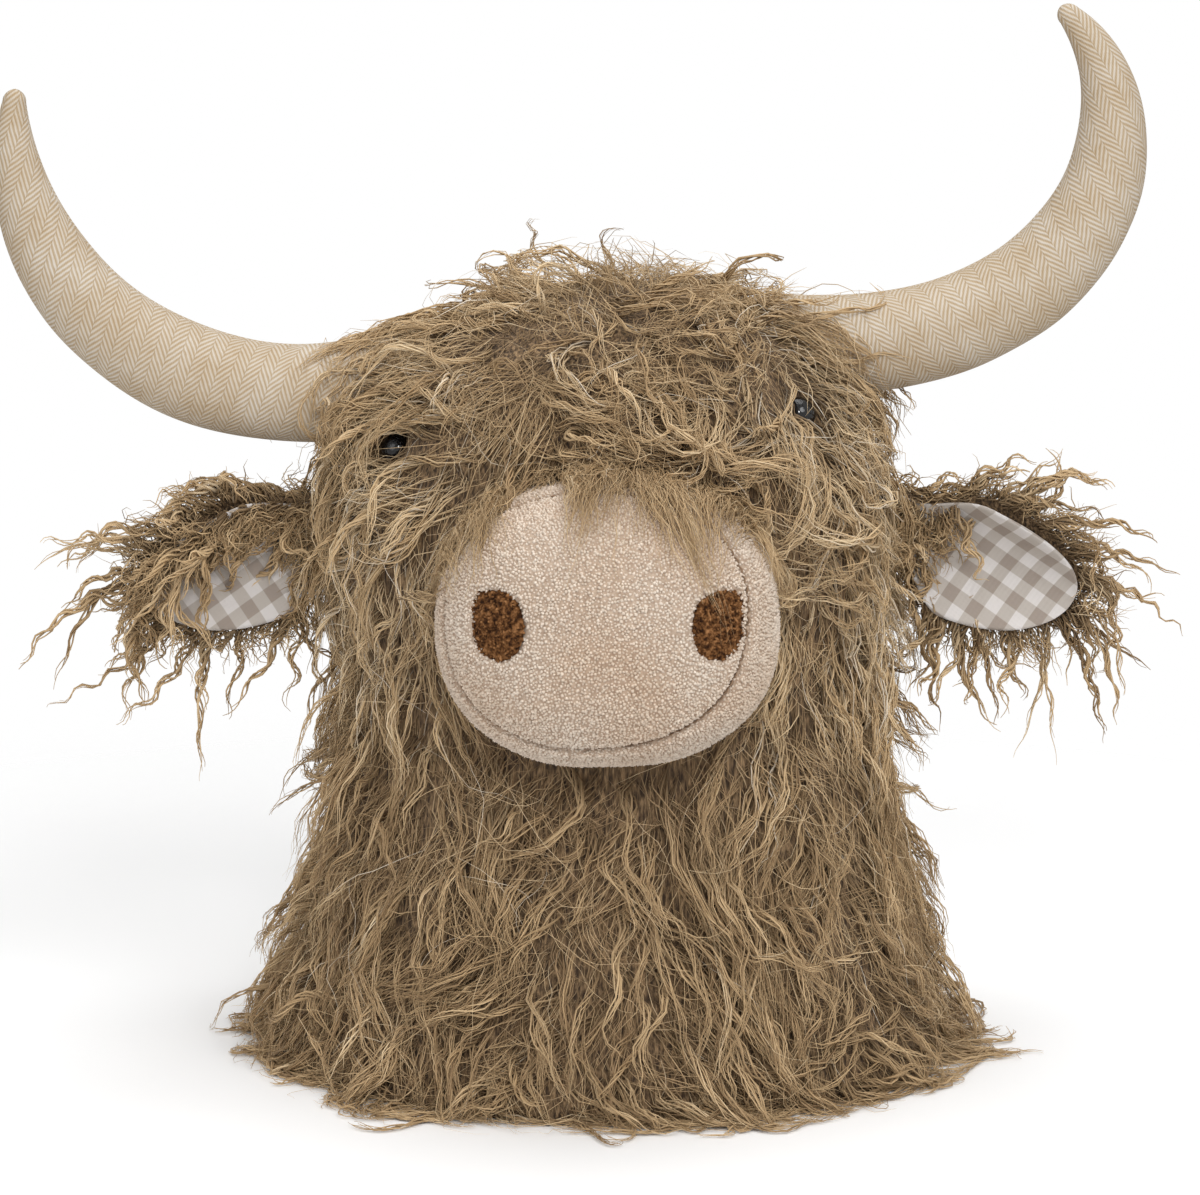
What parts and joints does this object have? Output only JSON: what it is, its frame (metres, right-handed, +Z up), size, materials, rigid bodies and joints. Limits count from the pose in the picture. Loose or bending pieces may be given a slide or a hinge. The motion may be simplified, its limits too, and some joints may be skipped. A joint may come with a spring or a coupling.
{
  "type": "plush animal head wall mount",
  "caption": "Stuffed long-haired cow's head with curved cloth horns, floppy ears and a towelling muzzle, flat-backed with a tape loop, to stand up or hang on a wall.",
  "frame": {"origin": "centre of the flat base, on the surface the head stands on", "axes": "+Z up, -Y out of the face, +X to the right seen from in front"},
  "size_m": [0.4741, 0.2449, 0.4355],
  "materials": {
    "fur": "long shaggy pile",
    "towelling": "looped terry pile",
    "fleece": "short brushed pile",
    "herringbone": "woven wool, matt",
    "gingham": "woven check, matt",
    "felt": "matt felt",
    "tape": "woven cotton tape",
    "filling": "loose fibre",
    "board": "stiff pressed board",
    "eye_black": "polished",
    "washer": "moulded"
  },
  "bodies": {
    "body": {"crown_panel": "fur", "throat_panel": "fur", "cheek_left_panel": "fur", "cheek_right_panel": "fur", "neck_left_panel": "fur", "neck_right_panel": "fur", "head_filling": "filling", "neck_filling": "filling", "back_board": "board", "back_cover": "felt", "base_cover": "felt", "muzzle_front_panel": "towelling", "muzzle_gusset": "towelling", "muzzle_filling": "filling", "nostril_left": "fleece", "nostril_right": "fleece", "eye_left": "eye_black", "eye_right": "eye_black", "eye_washer_left": "washer", "eye_washer_right": "washer"},
    "horn_left": {"horn_left_front_panel": "herringbone", "horn_left_back_panel": "herringbone", "horn_left_filling": "filling"},
    "ear_left": {"ear_left_fur_panel": "fur", "ear_left_lining": "gingham"},
    "horn_right": {"horn_right_front_panel": "herringbone", "horn_right_back_panel": "herringbone", "horn_right_filling": "filling"},
    "ear_right": {"ear_right_fur_panel": "fur", "ear_right_lining": "gingham"},
    "loop": {"hanging_loop": "tape"}
  },
  "joints": [
    {"name": "horn_left_flex", "type": "hinge", "parent": "body", "child": "horn_left", "pos_m": [-0.08936, 0.008, 0.28052], "axis": [0, 1, 0], "range_deg": [-10, 10], "stiffness_Nm_per_rad": 1.2},
    {"name": "horn_right_flex", "type": "hinge", "parent": "body", "child": "horn_right", "pos_m": [0.07402, 0.008, 0.29481], "axis": [0, 1, 0], "range_deg": [-10, 10], "stiffness_Nm_per_rad": 1.2},
    {"name": "ear_left_flop", "type": "hinge", "parent": "body", "child": "ear_left", "pos_m": [-0.11, 0.004, 0.227], "axis": [-0.3979, -0.2079, 0.8936], "range_deg": [-25, 40], "stiffness_Nm_per_rad": 0.05},
    {"name": "ear_right_flop", "type": "hinge", "parent": "body", "child": "ear_right", "pos_m": [0.11, 0.004, 0.227], "axis": [0.3979, -0.2079, 0.8936], "range_deg": [-40, 25], "stiffness_Nm_per_rad": 0.05},
    {"name": "loop_fold", "type": "hinge", "parent": "body", "child": "loop", "pos_m": [-0.00721, 0.0785, 0.28243], "axis": [0.9962, 0, 0.0872], "range_deg": [-80, 0], "stiffness_Nm_per_rad": 0.01}
  ]
}
